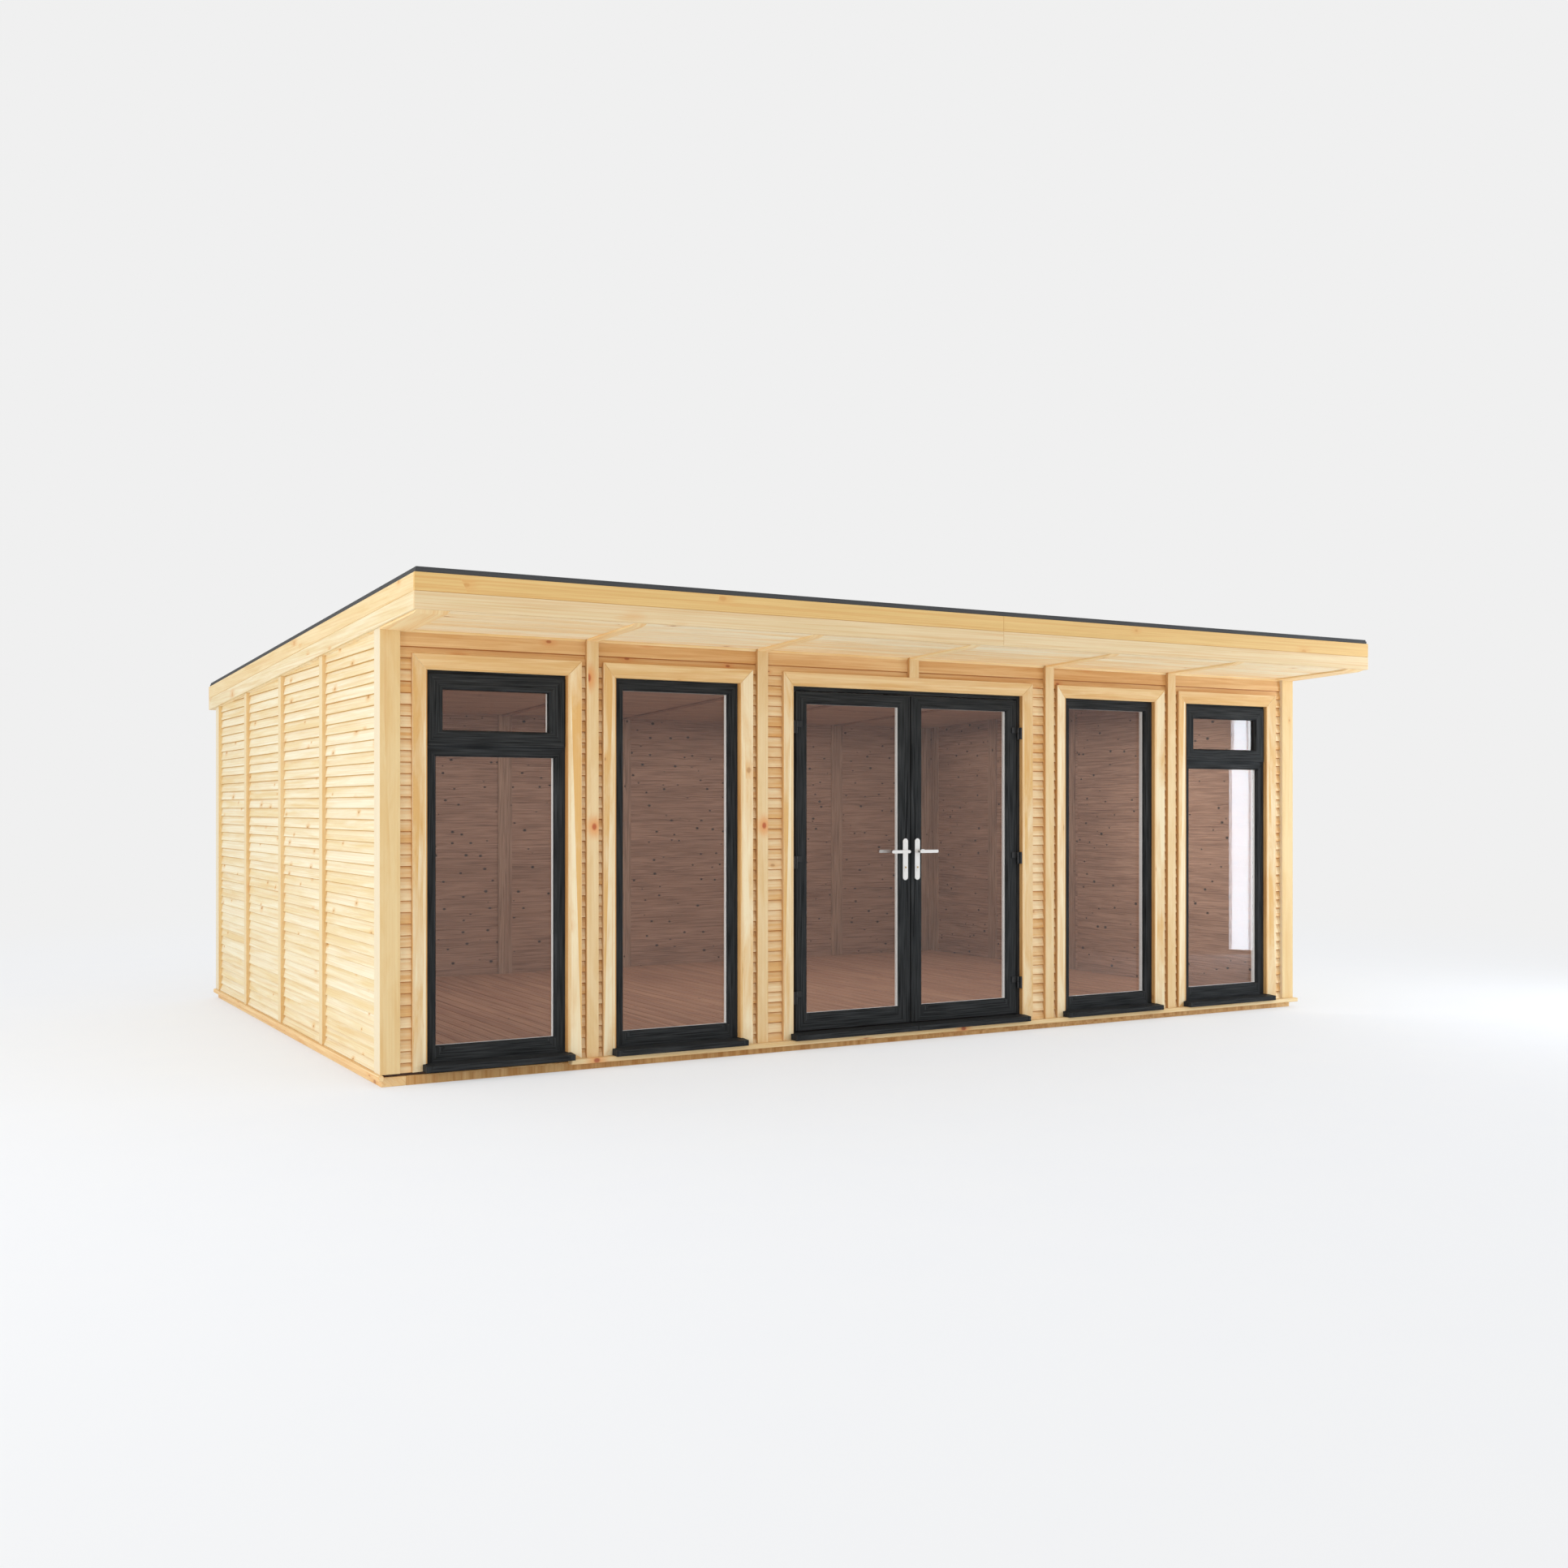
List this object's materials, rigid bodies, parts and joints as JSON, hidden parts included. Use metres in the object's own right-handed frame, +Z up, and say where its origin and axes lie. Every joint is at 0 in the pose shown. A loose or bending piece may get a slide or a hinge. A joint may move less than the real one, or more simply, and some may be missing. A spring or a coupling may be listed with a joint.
{
  "type": "insulated garden room",
  "caption": "Pine-clad garden office pod with a mono-pitch roof, black framed windows and a pair of glazed outward-opening doors on a timber base.",
  "frame": {"origin": "on the ground under the middle of the roof", "axes": "+X along the front to the right, +Y from the front to the back, +Z up"},
  "size_m": [6.23, 4.958, 2.4193],
  "materials": {
    "pine_cladding": "planed, untreated",
    "pine_trim": "planed, untreated",
    "pine_floor": "boarded",
    "roof_core": "boarded underside",
    "black_upvc": "extruded, embossed woodgrain foil",
    "clear_glass": "sealed double glazing",
    "roof_covering": "bonded sheet",
    "handle_metal": "satin",
    "hinge_metal": "powder coated"
  },
  "bodies": {
    "cabin": {"base_end_bearers": "pine_trim", "base_cross_bearers": "pine_trim", "floor_deck": "pine_floor", "end_caps": "pine_trim", "front_back_caps": "pine_trim", "left_wall": "pine_cladding", "right_wall": "pine_cladding", "back_wall": "pine_cladding", "front_piers": "pine_cladding", "front_header": "pine_cladding", "corner_posts": "pine_trim", "front_battens": "pine_trim", "left_battens": "pine_trim", "right_battens": "pine_trim", "back_battens": "pine_trim", "architrave_legs": "pine_trim", "architrave_heads": "pine_trim", "window_frame_1": "black_upvc", "window_frame_2": "black_upvc", "window_frame_3": "black_upvc", "window_frame_4": "black_upvc", "vent_sashes": "black_upvc", "window_panes": "clear_glass", "vent_panes": "clear_glass", "window_sills": "black_upvc", "door_sill": "black_upvc", "door_jambs": "black_upvc", "door_stops": "black_upvc", "door_head": "black_upvc", "frame_hinges": "hinge_metal", "roof_panel": "roof_core", "roof_membrane": "roof_covering", "front_fascia": "pine_trim", "back_fascia": "pine_trim", "side_fascias": "pine_trim", "soffit_battens": "pine_trim"},
    "left_door": {"left_leaf": "black_upvc", "left_pane": "clear_glass", "left_plates": "handle_metal", "left_hinges": "hinge_metal"},
    "right_door": {"right_leaf": "black_upvc", "right_pane": "clear_glass", "right_plates": "handle_metal", "right_hinges": "hinge_metal"},
    "left_handle": {"left_lever": "handle_metal"},
    "right_handle": {"right_lever": "handle_metal"}
  },
  "joints": [
    {"name": "left_door_hinge", "type": "hinge", "parent": "cabin", "child": "left_door", "pos_m": [-0.7755, -1.848, 1], "axis": [0, 0, -1], "range_deg": [0, 90]},
    {"name": "right_door_hinge", "type": "hinge", "parent": "cabin", "child": "right_door", "pos_m": [0.7755, -1.848, 1], "axis": [0, 0, 1], "range_deg": [0, 90]},
    {"name": "left_lever_turn", "type": "hinge", "parent": "left_door", "child": "left_handle", "pos_m": [-0.042, -1.8, 1.09], "axis": [0, -1, 0], "range_deg": [0, 40], "stiffness_Nm_per_rad": 3, "springref_deg": -17.19},
    {"name": "right_lever_turn", "type": "hinge", "parent": "right_door", "child": "right_handle", "pos_m": [0.042, -1.8, 1.09], "axis": [0, 1, 0], "range_deg": [0, 40], "stiffness_Nm_per_rad": 3, "springref_deg": -17.19}
  ]
}
